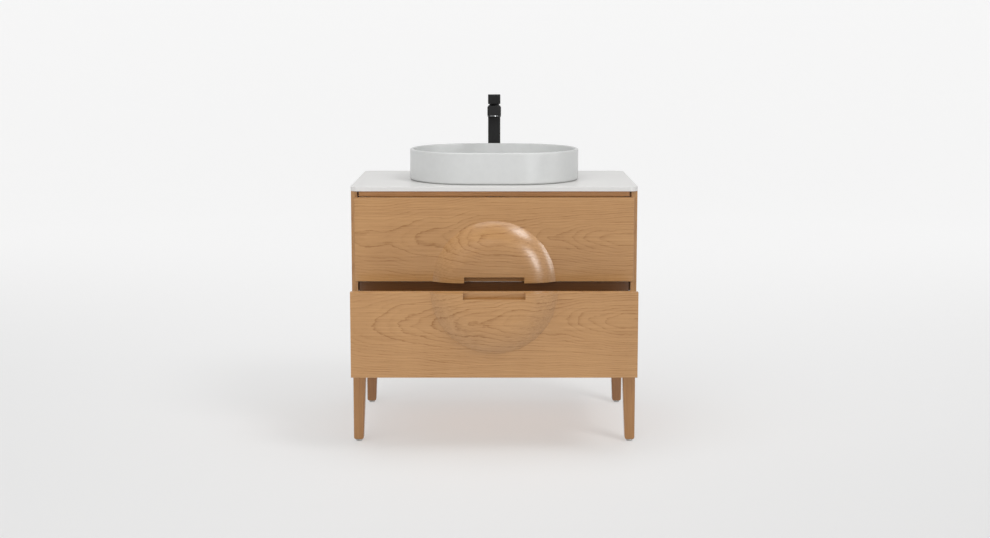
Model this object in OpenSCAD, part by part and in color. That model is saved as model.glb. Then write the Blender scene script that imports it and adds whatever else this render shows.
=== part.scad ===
// Bathroom vanity: oak cabinet on legs with two drawers, stone countertop,
// vessel basin, pillar tap and the waste fittings under the basin.
// X runs across the front, Y from the front to the wall, Z up from the floor.
// Depths are counted from the flat face of the closed drawer fronts.

/* [Overall] */
// Width of the countertop
top_w = 800; // [700:1:1000]
// Depth from the closed drawer fronts to the wall
depth = 480; // [460:1:580]
// Height of the countertop's upper face above the floor
top_height = 730; // [700:1:900]
// Height of the legs with their glides
leg_h = 225; // [180:1:280]

/* [Countertop] */
// Thickness of the stone
top_t = 13; // [10:1:30]
// Corner radius of the stone in plan
top_corner_r = 22; // [8:1:50]
// Rounding of the stone's edges
top_edge_r = 1.5; // [0.5:0.5:4]

/* [Cabinet] */
// How far the countertop stands past each side of the cabinet
top_overhang = 1; // [0:0.5:10]
// Thickness of the side panels
side_t = 17; // [15:1:22]
// Thickness of the bottom panel
bottom_t = 16; // [12:1:22]
// Thickness of the rails
rail_t = 16; // [12:1:22]
// Depth of the flat rails, front to back
rail_d = 60; // [50:1:90]
// Width of the shadow groove at either end of a front rail
groove_w = 4.7; // [2:0.1:8]
// Depth of that shadow groove
groove_d = 16; // [6:1:20]
// Height of the upper back rail
back_rail_h = 78; // [70:1:110]
// Height of the lower back rail
low_rail_h = 80; // [60:1:110]
// Hole radius for the wall screws
wall_hole_r = 3.5; // [2.5:0.5:5]
// Distance between the wall screws
wall_hole_gap = 500; // [300:1:600]

/* [Fronts] */
// Thickness of a drawer front
front_t = 18; // [16:1:22]
// Cabinet edge left showing beside the fronts
front_reveal = 10.5; // [2:0.5:20]
// Gap between the two fronts
front_gap = 4; // [2:0.5:8]
// Gap between the upper front and the countertop
front_top_gap = 17; // [10:1:30]
// How far the lower drawer stands open
low_open = 146; // [0:1:200]
// Radius of the round relief over both fronts
disc_r = 171.5; // [140:0.5:190]
// Height of the relief
disc_h = 30; // [20:1:36]
// Radius of the relief's flat middle
disc_flat_r = 95; // [90:1:110]
// Width of the finger pull
pull_w = 167; // [120:1:175]
// Height of the finger pull's mouth in each front
pull_h = 16.5; // [12:0.5:24]
// Thickness of the lip over the finger pull
pull_lip = 12; // [8:0.5:16]
// Height of the hidden groove behind the lip
pull_groove = 14; // [8:0.5:20]

/* [Drawers] */
// Thickness of the drawer sides and backs
box_t = 12; // [9:1:16]
// Thickness of the drawer bottoms
base_t = 6; // [4:1:10]
// Height of the drawer sides
box_h = 150; // [110:1:160]
// Height of a drawer's underside above its front's lower edge
box_lift = 20; // [14:1:30]
// Length of the drawer boxes and their slides
box_d = 400; // [380:5:430]
// Half width of the bay that clears the trap
bay_half_w = 76; // [60:1:90]
// Free distance from the basin's drain to the bay's front wall
bay_front = 62; // [50:1:80]

/* [Slides] */
// Space taken by a slide between drawer and side panel
slide_w = 12.7; // [12.5:0.1:14]
// Height of a slide
slide_h = 45; // [35:1:50]
// Sheet thickness of a slide
slide_sheet = 1.2; // [1:0.1:1.6]
// Running clearance between slide members
slide_gap = 0.6; // [0.3:0.1:1]

/* [Legs] */
// Width of a leg at its top
leg_w = 35.5; // [28:0.5:45]
// Width of a leg at its foot
leg_foot_w = 28; // [20:0.5:32]
// Straight length below the cabinet
leg_straight = 45; // [20:1:80]
// Rounding of a leg's edges
leg_edge_r = 4; // [2:0.5:7]
// Rounding of a leg's lower end
leg_end_r = 6; // [3:0.5:8]
// Radius of a glide
glide_r = 9; // [7:0.5:12]
// Height of a glide
glide_h = 5.6; // [4:0.2:9]

/* [Basin] */
// Width of the basin
basin_w = 491; // [420:1:560]
// Depth of the basin, front to back
basin_d = 380; // [310:1:384]
// Height of the basin
basin_h = 88.5; // [70:0.5:140]
// Thickness of the basin's wall
basin_wall = 9.5; // [7:0.5:14]
// Thickness of the basin's floor
basin_floor = 13; // [10:0.5:18]
// Inner radius between wall and floor
basin_fillet = 42; // [20:1:50]
// Distance from the closed drawer fronts to the basin's front
basin_front = 43; // [40:1:46]
// Thickness of the sealant under the basin
seal_t = 1.5; // [1:0.5:3]

/* [Tap] */
// Width of the tap's column
tap_w = 37.4; // [30:0.2:44]
// Height of the tap's column above its gasket
tap_h = 201.5; // [150:0.5:240]
// Distance from the wall to the tap's centre
tap_back = 30; // [28:0.5:40]
// Reach of the spout in front of the column
spout_reach = 140; // [100:1:170]
// Width of the spout
spout_w = 40.4; // [30:0.2:46]
// Thickness of the spout
spout_t = 27; // [18:0.5:32]
// Upward slope of the spout in degrees
spout_slope = 5; // [0:0.5:12]
// Height of the handle block
knob_h = 28; // [20:0.5:34]
// Width of the handle block
knob_w = 37.8; // [34:0.2:44]
// Length of the handle block, front to back
knob_l = 44; // [38:0.5:70]

/* [Waste] */
// Radius of the hole through basin and countertop
waste_hole_r = 22.5; // [21:0.5:26]
// Outer radius of the waste tube
waste_r = 20; // [18:0.5:21]
// Radius of the waste flange
flange_r = 31; // [28:0.5:36]
// Travel of the waste plug
plug_travel = 8; // [5:1:12]
// Outer radius of the trap pipes
pipe_r = 16; // [14:0.5:20]
// Radius of the bottle trap
trap_r = 30; // [26:0.5:36]

/* [Hidden] */
$fn = 48;

oak = "#b98c5c";
steel = "#a9adb0";
black = "#2a2a2a";
birch = "#d8c19c";

// Row origin: middle of the whole vanity's box, with the lower drawer as it stands
front_y = (low_open + disc_h - depth) / 2;

cab_w = top_w - 2 * top_overhang;
cab_half = cab_w / 2;
in_half = cab_half - side_t;
top_under = top_height - top_t;

// Heights of the two fronts, which share the space under the rail equally
front_w = cab_w - 2 * front_reveal;
fronts_h = top_under - front_top_gap - leg_h;
front_h = (fronts_h - front_gap) / 2;
low_front_z = leg_h;
up_front_z = leg_h + front_h + front_gap;
disc_z = leg_h + front_h + front_gap / 2;

// Relief: one arc from the flat middle down to the rim
disc_arc = (pow(disc_r - disc_flat_r, 2) + pow(disc_h, 2)) / (2 * disc_h);

box_half = in_half - slide_w;
box_in_half = box_half - box_t;
up_box_z = up_front_z + box_lift;
low_box_z = low_front_z + box_lift;
rail_up_z = up_box_z + 36;
rail_low_z = low_box_z + 36;
base_groove = 8;

basin_y = basin_front + basin_d / 2;
basin_end_r = basin_d / 2;
basin_z = top_height + seal_t;
drain_z = basin_z + basin_floor;
drain_dish = 3;
tap_y = depth - tap_back;
tap_gasket_t = 1.5;
tap_z = top_height + tap_gasket_t;
tap_top = tap_z + tap_h;

bay_y = basin_y - bay_front;
bay_back = front_t + box_d;

// Handle pivot sits just under the column's top, inside its dome
pivot_z = tap_top - 3;
dome_r = 16.5;
dome_gap = 0.4;
stem_r = 4;
cart_r = 15;
cart_h = 40;
knob_z = tap_top + 6;

shank_r = 16;
shank_len = 60;
inlet_r = 4.2;

// Square with round corners
module round_square(w, d, r) {
    translate([-w / 2 + r, -d / 2]) square([w - 2 * r, d]);
    translate([-w / 2, -d / 2 + r]) square([w, d - 2 * r]);
    for (x = [-1, 1], y = [-1, 1]) translate([x * (w / 2 - r), y * (d / 2 - r)]) circle(r);
}

// Half of a section that is rounded at its outer corners, for turning about its axis
module half_section(r, t, e) {
    square([r - e, t]);
    translate([0, e]) square([r, t - 2 * e]);
    for (z = [e, t - e]) translate([r - e, z]) circle(e);
}

// Plate with round corners in plan and rounded edges, standing on Z = 0
module soft_plate(w, d, t, corner_r, edge_r) {
    rotate([90, 0, 90]) translate([0, 0, -w / 2 + corner_r]) linear_extrude(w - 2 * corner_r)
        translate([0, t / 2]) round_square(d, t, edge_r);
    rotate([90, 0, 0]) translate([0, 0, -d / 2 + corner_r]) linear_extrude(d - 2 * corner_r)
        translate([0, t / 2]) round_square(w, t, edge_r);
    for (x = [-1, 1], y = [-1, 1])
        translate([x * (w / 2 - corner_r), y * (d / 2 - corner_r), 0])
            rotate_extrude($fn = 64) half_section(corner_r, t, edge_r);
}

// Places children at a depth behind the closed fronts
module at(x = 0, y = 0, z = 0) {
    translate([x, front_y + y, z]) children();
}

// Plain board between two corners, depths from the closed fronts
module board(x0, x1, y0, y1, z0, z1) {
    at(x0, y0, z0) cube([x1 - x0, y1 - y0, z1 - z0]);
}

// ---- Cabinet ----

// Leg bolts: their heads stand in the slides' gap, clear of the drawer and the back rail
bolt_r = 3;
bolt_head_r = 5.5;
bolt_head_h = 4;
bolt_x = in_half - slide_w / 2;
bolt_front_y = front_t + leg_w / 2;
bolt_back_y = depth - rail_t - bolt_head_r - 1;
bolt_down = 40;
dowel_r = 4;
dowel_l = 30;
dowel_in = 10;

module bolt_holes(r, z, h) {
    for (x = [-1, 1], y = [bolt_front_y, bolt_back_y]) at(x * bolt_x, y, z) cylinder(r = r, h = h);
}

// Dowel centres: one pair for each end of each rail, and for the bottom panel
top_rail_z = top_under - rail_t;
mid_rail_top = up_front_z - 5;
mid_rail_z = mid_rail_top - rail_t - 10;
rail_y0 = front_t + 4;
back_rail_z = top_under - back_rail_h;
low_rail_z = leg_h + bottom_t;
dowel_spots = [
    [rail_y0 + groove_d + 8, top_rail_z + rail_t / 2], [rail_y0 + rail_d - 10, top_rail_z + rail_t / 2],
    [rail_y0 + groove_d + 8, mid_rail_z + 13], [rail_y0 + rail_d - 10, mid_rail_z + 13],
    [depth - rail_t / 2, back_rail_z + 15], [depth - rail_t / 2, back_rail_z + back_rail_h - 15],
    [depth - rail_t / 2, low_rail_z + 15], [depth - rail_t / 2, low_rail_z + low_rail_h - 15],
    [front_t + 90, leg_h + bottom_t / 2], [depth - 90, leg_h + bottom_t / 2]
];

module rail_dowels() {
    color(birch) for (s = [-1, 1], p = dowel_spots)
        at(s * (in_half + dowel_in), p[0], p[1]) rotate([0, -90 * s, 0]) cylinder(r = dowel_r, h = dowel_l);
}

module side_panel(s) {
    color(oak) difference() {
        board(s > 0 ? in_half : -cab_half, s > 0 ? cab_half : -in_half, front_t, depth, leg_h, top_under);
        rail_dowels();
    }
}

module side_left() { side_panel(-1); }
module side_right() { side_panel(1); }

module bottom_panel() {
    color(oak) difference() {
        board(-in_half, in_half, front_t, depth, leg_h, leg_h + bottom_t);
        bolt_holes(bolt_r, leg_h - 1, bottom_t + 2);
        rail_dowels();
    }
}

// Rail across the front of the cabinet with a shadow groove against either side panel
module front_rail(z0, z1) {
    color(oak) difference() {
        board(-in_half, in_half, rail_y0, rail_y0 + rail_d, z0, z1);
        for (x = [-in_half, in_half])
            board(x - groove_w, x + groove_w, rail_y0 - 1, rail_y0 + groove_d, z0 - 1, z1 + 1);
        rail_dowels();
    }
}

module top_rail() { front_rail(top_rail_z, top_under); }
module mid_rail() { front_rail(mid_rail_z, mid_rail_top); }

module back_rail_upper() {
    notch_half = 34;
    notch_h = top_under - tap_z + shank_len + 4;
    color(oak) difference() {
        board(-in_half, in_half, depth - rail_t, depth, back_rail_z, top_under);
        board(-notch_half, notch_half, depth - rail_t - 1, depth + 1, top_under - notch_h, top_under + 1);
        for (s = [-1, 1]) at(s * wall_hole_gap / 2, depth + 1, back_rail_z + back_rail_h / 2)
            rotate([90, 0, 0]) cylinder(r = wall_hole_r, h = rail_t + 2);
        rail_dowels();
    }
}

module back_rail_lower() {
    color(oak) difference() {
        board(-in_half, in_half, depth - rail_t, depth, low_rail_z, low_rail_z + low_rail_h);
        rail_dowels();
    }
}

module countertop() {
    color("#dcdbd9") difference() {
        at(0, depth / 2, top_under) soft_plate(top_w, depth, top_t, top_corner_r, top_edge_r);
        at(0, basin_y, top_under - 1) cylinder(r = waste_hole_r, h = top_t + 2);
        at(0, tap_y, top_under - 1) cylinder(r = shank_r + 1.5, h = top_t + 2);
    }
}

// ---- Legs ----

// Slab of a leg's section, flush with its outer faces at x = 0 and y = 0, reaching inward
module leg_slab(w, r, z, t, inset = 0) {
    translate([w / 2, w / 2, z]) linear_extrude(t)
        round_square(w - 2 * inset, w - 2 * inset, max(r - inset, 1));
}

module leg_shape() {
    straight_z = leg_h - leg_straight;
    leg_slab(leg_w, leg_edge_r, straight_z, leg_straight);
    hull($fn = 32) {
        leg_slab(leg_w, leg_edge_r, straight_z - 0.1, 0.1);
        leg_slab(leg_foot_w, leg_edge_r, glide_h + leg_end_r, 0.1);
        leg_slab(leg_foot_w, leg_edge_r, glide_h + leg_end_r * 0.4, 0.1, leg_end_r * 0.22);
        leg_slab(leg_foot_w, leg_edge_r, glide_h, 0.1, leg_end_r * 0.6);
    }
}

// sx and sy are 1 where the leg's outer face looks towards -X and -Y
module leg(sx, sy) {
    x = -sx * cab_half;
    y = sy > 0 ? front_t : depth;
    color(oak) difference() {
        at(x, y) mirror([sx > 0 ? 0 : 1, 0, 0]) mirror([0, sy > 0 ? 0 : 1, 0]) leg_shape();
        bolt_holes(bolt_r, leg_h - bolt_down, bolt_down + 1);
        glides();
    }
}

module leg_front_left() { leg(1, 1); }
module leg_front_right() { leg(-1, 1); }
module leg_back_left() { leg(1, -1); }
module leg_back_right() { leg(-1, -1); }

module leg_bolts() {
    color(steel) {
        bolt_holes(bolt_r, leg_h - bolt_down, bolt_down + bottom_t);
        bolt_holes(bolt_head_r, leg_h + bottom_t, bolt_head_h);
    }
}

module glides() {
    foot_c = leg_foot_w / 2;
    pin_r = 3;
    pin_l = 18;
    color(steel) for (x = [-1, 1], y = [front_t + foot_c, depth - foot_c])
        at(x * (cab_half - foot_c), y) {
            rotate_extrude() half_section(glide_r, glide_h, 1);
            cylinder(r = pin_r, h = glide_h + pin_l);
        }
}

// ---- Basin and waste ----

// Wall and floor of the basin from the middle of an end's arc outwards
module basin_section() {
    r = basin_end_r;
    foot_r = 5;
    rim_r = 3;
    difference() {
        union() {
            square([r - foot_r, basin_h]);
            translate([0, foot_r]) square([r, basin_h - foot_r - rim_r]);
            translate([r - foot_r, foot_r]) circle(foot_r);
            translate([r - basin_wall, basin_h - 2 * rim_r]) square([basin_wall - rim_r, 2 * rim_r]);
            translate([r - rim_r, basin_h - rim_r]) circle(rim_r);
        }
        translate([-1, basin_floor]) square([r - basin_wall - basin_fillet + 1, basin_h]);
        translate([-1, basin_floor + basin_fillet]) square([r - basin_wall + 1, basin_h]);
        translate([r - basin_wall - basin_fillet, basin_floor + basin_fillet]) circle(basin_fillet, $fn = 96);
        // Inner edge of the rim
        translate([r - basin_wall - 1, basin_h - rim_r]) difference() {
            square([rim_r + 1, rim_r + 1]);
            translate([rim_r + 1, 0]) circle(rim_r);
        }
    }
}

module basin_shape() {
    end_x = basin_w / 2 - basin_end_r;
    for (s = [0, 180]) rotate([0, 0, s]) {
        translate([end_x, 0, 0]) rotate([0, 0, -90]) rotate_extrude(angle = 180, $fn = 96) basin_section();
        translate([-end_x, 0, 0]) rotate([90, 0, 90]) linear_extrude(2 * end_x) basin_section();
    }
}

module basin() {
    dish_r = 70;
    color("#d9d9d8") difference() {
        at(0, basin_y, basin_z) basin_shape();
        at(0, basin_y, basin_z - 1) cylinder(r = waste_hole_r, h = basin_floor + 2);
        at(0, basin_y, drain_z - drain_dish) cylinder(r1 = flange_r + 1, r2 = dish_r, h = drain_dish);
    }
}

// Flat shape with straight long sides and half-round ends
module long_round(w, d) {
    translate([-(w - d) / 2, -d / 2]) square([w - d, d]);
    for (x = [-1, 1]) translate([x * (w - d) / 2, 0]) circle(d / 2);
}

module basin_seal() {
    inset = 5;
    width = 6;
    color("#9a9a98") at(0, basin_y, top_height) linear_extrude(seal_t) difference() {
        long_round(basin_w - 2 * inset, basin_d - 2 * inset, $fn = 96);
        long_round(basin_w - 2 * (inset + width), basin_d - 2 * (inset + width), $fn = 96);
    }
}

tube_wall = 2;
tube_low = top_under - 45;
flange_z = drain_z - drain_dish;
flange_t = 2.5;
guide_r = 3;
bar_h = plug_travel + 6;
bar_z = flange_z - bar_h - 8;

module waste_flange() {
    color(steel) at(0, basin_y) difference() {
        union() {
            translate([0, 0, tube_low]) cylinder(r = waste_r, h = flange_z + 1 - tube_low);
            translate([0, 0, flange_z]) cylinder(r = flange_r, h = flange_t);
        }
        translate([0, 0, tube_low - 1]) cylinder(r = waste_r - tube_wall, h = 100);
    }
    // Cross bar and sleeve that guide the plug's stem
    color(steel) at(0, basin_y, bar_z) difference() {
        union() {
            cylinder(r = guide_r + 3, h = bar_h);
            for (a = [0, 60, 120]) rotate([0, 0, a])
                translate([-waste_r + tube_wall / 2, -1, 0]) cube([2 * waste_r - tube_wall, 2, bar_h]);
        }
        translate([0, 0, -1]) cylinder(r = guide_r + 0.05, h = bar_h + 2);
    }
}

module waste_plug() {
    cap_r = flange_r - 1;
    cap_t = 4;
    cap_z = flange_z + flange_t + 0.4;
    stem_low = bar_z - plug_travel;
    color(steel) at(0, basin_y) {
        translate([0, 0, cap_z]) rotate_extrude(angle = 360, $fn = 64) half_section(cap_r, cap_t, 1.2);
        translate([0, 0, stem_low]) cylinder(r = guide_r, h = cap_z + 1 - stem_low);
    }
}

module waste_washer() {
    color("#3a3a3a") at(0, basin_y, top_under - 3) difference() {
        cylinder(r = flange_r, h = 3);
        translate([0, 0, -1]) cylinder(r = waste_r, h = 5);
    }
}

module waste_nut() {
    color(steel) at(0, basin_y, top_under - 3 - 9) difference() {
        cylinder(r = flange_r + 1, h = 9, $fn = 6);
        translate([0, 0, -1]) cylinder(r = waste_r, h = 11);
    }
}

trap_top = top_under - 92;
trap_low = up_box_z + base_t + base_groove + 44;
outlet_z = trap_top - 34;
trap_wall = 2;
pipe_wall = 1.5;
pipe_step = 0.5;
socket_l = 12;

module trap_inlet() {
    collar_h = 16;
    color(steel) at(0, basin_y) difference() {
        union() {
            translate([0, 0, outlet_z - 20]) cylinder(r = pipe_r, h = tube_low - outlet_z + 20);
            translate([0, 0, tube_low - 3]) cylinder(r = waste_r - tube_wall, h = 3 + collar_h - 4);
        }
        translate([0, 0, outlet_z - 21]) cylinder(r = pipe_r - pipe_wall, h = 200);
    }
}

module trap_nuts() {
    color(steel) {
        at(0, basin_y, tube_low - 14) difference() {
            rotate_extrude() half_section(waste_r + 5, 22, 1.5);
            translate([0, 0, 13.95]) cylinder(r = waste_r, h = 10);
            translate([0, 0, -1]) cylinder(r = pipe_r, h = 30);
            translate([0, 0, 10.9]) cylinder(r = waste_r - tube_wall, h = 10);
        }
        at(0, basin_y, trap_top) difference() {
            rotate_extrude() half_section(pipe_r + 7, 14, 1.5);
            translate([0, 0, -1]) cylinder(r = pipe_r, h = 20);
        }
    }
}

module trap_body() {
    color(steel) at(0, basin_y) difference() {
        union() {
            translate([0, 0, trap_low + 14]) rotate_extrude($fn = 64)
                half_section(trap_r, trap_top - trap_low - 14, 3);
            translate([0, 0, outlet_z]) rotate([-90, 0, 0]) cylinder(r = pipe_r + 4, h = trap_r + socket_l);
        }
        translate([0, 0, trap_low + 13]) cylinder(r = trap_r - trap_wall - 1, h = trap_top - trap_low - 20);
        translate([0, 0, trap_low + 13]) cylinder(r = pipe_r, h = 200);
        translate([0, 0, outlet_z]) rotate([-90, 0, 0])
            cylinder(r = pipe_r - pipe_step, h = trap_r + socket_l + 1);
    }
}

module trap_cup() {
    color(steel) at(0, basin_y, trap_low) difference() {
        rotate_extrude($fn = 64) half_section(trap_r + 2.5, 26, 3);
        translate([0, 0, 14]) cylinder(r = trap_r, h = 20);
        translate([0, 0, 4]) cylinder(r = trap_r - trap_wall - 1, h = 30);
    }
}

// Outlet pipe: a slimmer end in the trap's socket, then its full size to the wall
module trap_outlet() {
    start = trap_r - 2;
    shoulder = trap_r + socket_l + 3;
    color(steel) at(0, basin_y, outlet_z) rotate([-90, 0, 0]) difference() {
        union() {
            translate([0, 0, start]) cylinder(r = pipe_r - pipe_step, h = shoulder - start);
            translate([0, 0, shoulder]) cylinder(r = pipe_r, h = depth - basin_y - shoulder);
        }
        cylinder(r = pipe_r - pipe_wall, h = depth);
    }
}

// ---- Tap ----

module tap_gasket() {
    color("#1c1c1c") at(0, tap_y, top_height) linear_extrude(tap_gasket_t) difference() {
        round_square(tap_w - 2, tap_w - 2, 3);
        circle(shank_r);
    }
}

module tap_column() {
    color(black) at(0, tap_y) difference() {
        translate([0, 0, tap_z]) soft_plate(tap_w, tap_w, tap_h, 3, 0.8);
        translate([0, 0, tap_top - cart_h]) cylinder(r = cart_r, h = cart_h - 4);
        translate([0, 0, pivot_z]) sphere(r = dome_r + dome_gap, $fn = 96);
    }
}

module tap_cartridge() {
    color("#8d8f92") at(0, tap_y, tap_top - cart_h) difference() {
        cylinder(r = cart_r, h = cart_h - 4);
        translate([0, 0, pivot_z - tap_top + cart_h]) sphere(r = dome_r + dome_gap, $fn = 96);
    }
}

// Round cap that turns with the handle, slotted for the stem's tilt
module tap_dome() {
    slot_w = 2 * stem_r + 1;
    slot_back = 12;
    color(black) at(0, tap_y, pivot_z) difference() {
        sphere(r = dome_r, $fn = 96);
        sphere(r = dome_r - 3, $fn = 96);
        translate([-50, -50, -100]) cube([100, 100, 100]);
        translate([-slot_w / 2, -slot_w / 2 - 1, 0]) cube([slot_w, slot_w + slot_back, 40]);
    }
}

module tap_stem() {
    color(steel) at(0, tap_y, pivot_z) difference() {
        cylinder(r = stem_r, h = 28);
        translate([-10, -10, -1]) cube([20, 20, 3]);
    }
}

screw_z = 6;

module tap_handle() {
    color(black) at(0, tap_y) difference() {
        translate([0, knob_w / 2 - knob_l / 2, knob_z]) soft_plate(knob_w, knob_l, knob_h, 3, 1.2);
        translate([0, 0, pivot_z]) sphere(r = dome_r + dome_gap, $fn = 96);
        translate([0, 0, pivot_z + 2]) cylinder(r = stem_r, h = 26);
        translate([0, 0, pivot_z + 24 - screw_z / 2]) rotate([-90, 0, 0]) cylinder(r = 2, h = 40);
    }
}

module tap_grub_screw() {
    color("#1c1c1c") at(0, tap_y + stem_r, pivot_z + 24 - screw_z / 2) rotate([-90, 0, 0]) difference() {
        cylinder(r = 2, h = knob_w / 2 - stem_r - 3);
        translate([0, 0, knob_w / 2 - stem_r - 5]) cylinder(r = 1, h = 4, $fn = 6);
    }
}

spout_z = tap_top - 34;

// Spout from the column's front face, rising towards its tip
module spout_frame() {
    at(0, tap_y - tap_w / 2, spout_z) rotate([-spout_slope, 0, 0]) children();
}

module tap_spout() {
    nose = 10;
    color(black) difference() {
        spout_frame() translate([0, -spout_reach / 2 + nose / 2, 0])
            soft_plate(spout_w, spout_reach + nose, spout_t, 3, 1.5);
        board(-30, 30, tap_y - tap_w / 2, tap_y + 30, spout_z - 40, spout_z + 60);
        spout_frame() translate([0, -spout_reach + 18, -1]) cylinder(r = 11, h = 7);
    }
}

module tap_aerator() {
    color(steel) spout_frame() translate([0, -spout_reach + 18, -1.5]) difference() {
        cylinder(r = 11, h = 7.5);
        translate([0, 0, -1]) cylinder(r = 8.5, h = 3);
    }
}

module tap_shank() {
    color(steel) at(0, tap_y) difference() {
        translate([0, 0, tap_z - shank_len]) cylinder(r = shank_r, h = shank_len);
        for (s = [-1, 1]) translate([s * 7, 0, tap_z - shank_len - 1]) cylinder(r = inlet_r, h = 21);
    }
}

module tap_washer() {
    color("#3a3a3a") at(0, tap_y, top_under - 3) difference() {
        cylinder(r = shank_r + 9, h = 3);
        translate([0, 0, -1]) cylinder(r = shank_r, h = 5);
    }
}

module tap_nut() {
    color(steel) at(0, tap_y, top_under - 3 - 10) difference() {
        cylinder(r = shank_r + 8, h = 10, $fn = 6);
        translate([0, 0, -1]) cylinder(r = shank_r, h = 12);
    }
}

// ---- Drawer fronts ----

// Round relief on the closed fronts' face, reaching towards -Y
module relief() {
    at(0, 0, disc_z) rotate([90, 0, 0]) rotate_extrude($fn = 180) {
        square([disc_flat_r, disc_h]);
        intersection() {
            translate([disc_flat_r, 0]) square([disc_r - disc_flat_r, disc_h]);
            translate([disc_flat_r, disc_h - disc_arc]) circle(disc_arc, $fn = 180);
        }
    }
}

// Mouth and hidden groove of the finger pull; dir points from the gap into the front
module pull_cut(z, dir) {
    h0 = dir > 0 ? -1 : -pull_h;
    g0 = dir > 0 ? 0 : -pull_h - pull_groove;
    board(-pull_w / 2, pull_w / 2, -disc_h - 1, 0, z + h0, z + h0 + pull_h + 1);
    board(-pull_w / 2, pull_w / 2, -disc_h + pull_lip, 0, z + g0, z + g0 + pull_h + pull_groove);
}

module front_blank(z) {
    edge = 1;
    at(0, front_t, z + front_h / 2) rotate([90, 0, 0]) soft_plate(front_w, front_h, front_t, 1.2, edge);
}

module upper_front() {
    color(oak) difference() {
        union() {
            front_blank(up_front_z);
            intersection() {
                relief();
                board(-front_w / 2, front_w / 2, -disc_h - 1, 1, up_front_z, up_front_z + front_h);
            }
        }
        pull_cut(up_front_z, 1);
        front_screws(up_box_z);
    }
}

module lower_front() {
    color(oak) translate([0, -low_open, 0]) difference() {
        union() {
            front_blank(low_front_z);
            intersection() {
                relief();
                board(-front_w / 2, front_w / 2, -disc_h - 1, 1, low_front_z, low_front_z + front_h);
            }
        }
        pull_cut(low_front_z + front_h, -1);
        front_screws(low_box_z);
    }
}

// ---- Drawer boxes ----

screw_r = 2;
screw_in = 12;

// Screws from a drawer's end blocks into its front
module front_screws(z) {
    for (s = [-1, 1], h = [30, box_h - 30])
        at(s * (box_in_half - box_t / 2 - 9), front_t - screw_in, z + h) rotate([-90, 0, 0]) {
            cylinder(r = screw_r, h = screw_in + box_t);
            translate([0, 0, screw_in + box_t]) cylinder(r = 4, h = 2);
        }
}

module front_screws_upper() { color(steel) front_screws(up_box_z); }
module front_screws_lower() { color(steel) translate([0, -low_open, 0]) front_screws(low_box_z); }

module box_side(s, z) {
    color(birch) board(s > 0 ? box_in_half : -box_half, s > 0 ? box_half : -box_in_half,
        front_t, bay_back, z, z + box_h);
}

// Bottom of a drawer, level with its inside, in all its width
base_z = base_groove;

module upper_side_left() { box_side(-1, up_box_z); }
module upper_side_right() { box_side(1, up_box_z); }

module upper_back(s) {
    x0 = s > 0 ? bay_half_w + box_t : -box_in_half;
    x1 = s > 0 ? box_in_half : -bay_half_w - box_t;
    color(birch) board(x0, x1, bay_back - box_t, bay_back, up_box_z, up_box_z + box_h);
}

module upper_back_left() { upper_back(-1); }
module upper_back_right() { upper_back(1); }

// Three walls round the trap, with the space behind it open
module upper_bay_walls() {
    color(birch) {
        for (s = [-1, 1]) board(s > 0 ? bay_half_w : -bay_half_w - box_t,
            s > 0 ? bay_half_w + box_t : -bay_half_w, bay_y, bay_back, up_box_z, up_box_z + box_h);
        board(-bay_half_w - box_t, bay_half_w + box_t, bay_y - box_t, bay_y, up_box_z, up_box_z + box_h);
    }
}

// Board across the box behind a front, which the front is screwed to
module upper_base() {
    z = up_box_z + base_z;
    color(birch) difference() {
        union() {
            board(-box_in_half, box_in_half, front_t, bay_back - box_t, z, z + base_t);
            board(-box_in_half, box_in_half, front_t, front_t + box_t, z + base_t, z - base_z + box_h);
        }
        board(-bay_half_w - box_t, bay_half_w + box_t, bay_y - box_t, bay_back, z - 1, z + base_t + 1);
        front_screws(up_box_z);
    }
}

module lower_side_left() { translate([0, -low_open, 0]) box_side(-1, low_box_z); }
module lower_side_right() { translate([0, -low_open, 0]) box_side(1, low_box_z); }

module lower_back() {
    color(birch) translate([0, -low_open, 0])
        board(-box_in_half, box_in_half, bay_back - box_t, bay_back, low_box_z, low_box_z + box_h);
}

module lower_base() {
    z = low_box_z + base_z;
    color(birch) translate([0, -low_open, 0]) difference() {
        union() {
            board(-box_in_half, box_in_half, front_t, bay_back - box_t, z, z + base_t);
            board(-box_in_half, box_in_half, front_t, front_t + box_t, z + base_t, z - base_z + box_h);
        }
        front_screws(low_box_z);
    }
}

// ---- Slides ----

// C profile: w deep, h high, open towards +X
module channel(w, h) {
    translate([0, -h / 2]) square([slide_sheet, h]);
    for (z = [-h / 2, h / 2 - slide_sheet]) translate([0, z]) square([w, slide_sheet]);
}

mid_h = slide_h - 2 * slide_sheet - 2 * slide_gap - 4;
in_h = mid_h - 2 * slide_sheet - 2 * slide_gap - 4;
mid_x = slide_sheet + slide_gap;
in_x = mid_x + slide_sheet + slide_gap;

// Pair of slide members, left and right, each with its web towards the side panel
module slide_pair(x, w, h, z, y_shift, turned = false) {
    color(steel) for (s = [-1, 1])
        at(s * (in_half - x), front_t + 2 - y_shift + box_d - 4, z) mirror([s > 0 ? 1 : 0, 0, 0])
            rotate([90, 0, 0]) linear_extrude(box_d - 4)
                if (turned) translate([w, 0]) mirror([1, 0]) channel(w, h);
                else channel(w, h);
}

outer_w = slide_w - 3;
middle_w = slide_w - 3 - mid_x;
inner_w = slide_w - in_x;

// Strips of the ball cage, which fill the space above and below the middle member
module ball_cages(z, y_shift) {
    cage_t = 1.6;
    cage_l = box_d / 2;
    color(steel) for (s = [-1, 1], k = [-1, 1])
        at(s * (in_half - mid_x - 4), front_t + 60 - y_shift, z + k * (mid_h / 2 + cage_t / 2) - cage_t / 2)
            translate([-1.5, 0, 0]) cube([3, cage_l, cage_t]);
}

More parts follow.
